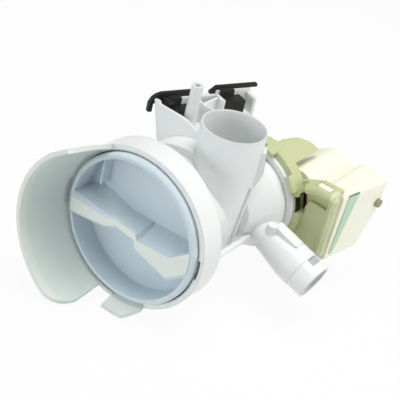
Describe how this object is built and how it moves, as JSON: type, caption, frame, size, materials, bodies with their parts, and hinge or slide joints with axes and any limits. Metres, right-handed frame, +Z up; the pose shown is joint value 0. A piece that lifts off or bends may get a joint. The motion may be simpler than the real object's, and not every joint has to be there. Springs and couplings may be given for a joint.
{
  "type": "washer_drain_pump",
  "caption": "Washing machine drain pump: white housing with filter mouth and scoop, upright inlet, side outlet, rubber dampers and a cream-covered motor on an olive bayonet mount",
  "frame": {"origin": "centre of the filter mouth's front rim", "axes": "+X to the outlet side, +Y from the mouth back to the motor, +Z up the inlet spigot"},
  "size_m": [0.1329, 0.1625, 0.1074],
  "materials": {
    "white_plastic": "fine moulded satin",
    "scoop_plastic": "fine moulded satin, slightly translucent",
    "cap_plastic": "satin moulded",
    "black_rubber": "matte",
    "seal_rubber": "matte",
    "impeller_plastic": "satin moulded",
    "shaft_steel": "ground",
    "magnet": "dull sintered",
    "bearing_bronze": "sintered",
    "olive_plastic": "satin moulded",
    "peg_plastic": "satin moulded",
    "core_steel": "lacquered laminations",
    "bobbin_plastic": "satin moulded",
    "copper": "enamelled wire",
    "cream_plastic": "fine moulded satin",
    "teal_film": "smooth",
    "terminal_tin": "tinned"
  },
  "bodies": {
    "base": {"pump_housing": "white_plastic", "drain_scoop": "scoop_plastic", "damper_front": "black_rubber", "damper_rear": "black_rubber", "motor_mount": "olive_plastic", "mount_seal": "seal_rubber", "front_bush": "bearing_bronze", "rear_bush": "bearing_bronze", "rear_cushion": "seal_rubber", "shaft_seal": "seal_rubber", "stator_core": "core_steel", "core_rivets": "shaft_steel", "coil_bobbins": "bobbin_plastic", "windings": "copper", "coil_cover": "cream_plastic", "insulation_strip": "teal_film", "cover_peg": "peg_plastic", "terminals": "terminal_tin"},
    "filter_carrier": {"filter_seal": "seal_rubber"},
    "filter": {"filter_cap": "cap_plastic", "filter_strainer": "cap_plastic"},
    "rotor": {"shaft": "shaft_steel", "rotor_hub": "impeller_plastic", "rotor_magnet": "magnet", "thrust_washers": "bearing_bronze", "drive_dog": "impeller_plastic"},
    "pump_wheel": {"impeller": "impeller_plastic", "impeller_cap": "impeller_plastic"}
  },
  "joints": [
    {"name": "filter_out", "type": "slide", "parent": "base", "child": "filter_carrier", "axis": [0, -1, 0], "range_m": [0, 0.004]},
    {"name": "filter_turn", "type": "hinge", "parent": "filter_carrier", "child": "filter", "pos_m": [0, 0, 0], "axis": [0, -1, 0], "range_deg": [0, 150]},
    {"name": "rotor_spin", "type": "hinge", "parent": "base", "child": "rotor", "pos_m": [0.0165, 0.081, 0], "axis": [0, 1, 0], "continuous": true},
    {"name": "impeller_play", "type": "hinge", "parent": "rotor", "child": "pump_wheel", "pos_m": [0.0165, 0.072, 0], "axis": [0, 1, 0], "range_deg": [-95, 95]}
  ],
  "couplings": [
    {"joint": "filter_out", "follows": "filter_turn", "m_per_rad": 0.0015279}
  ]
}
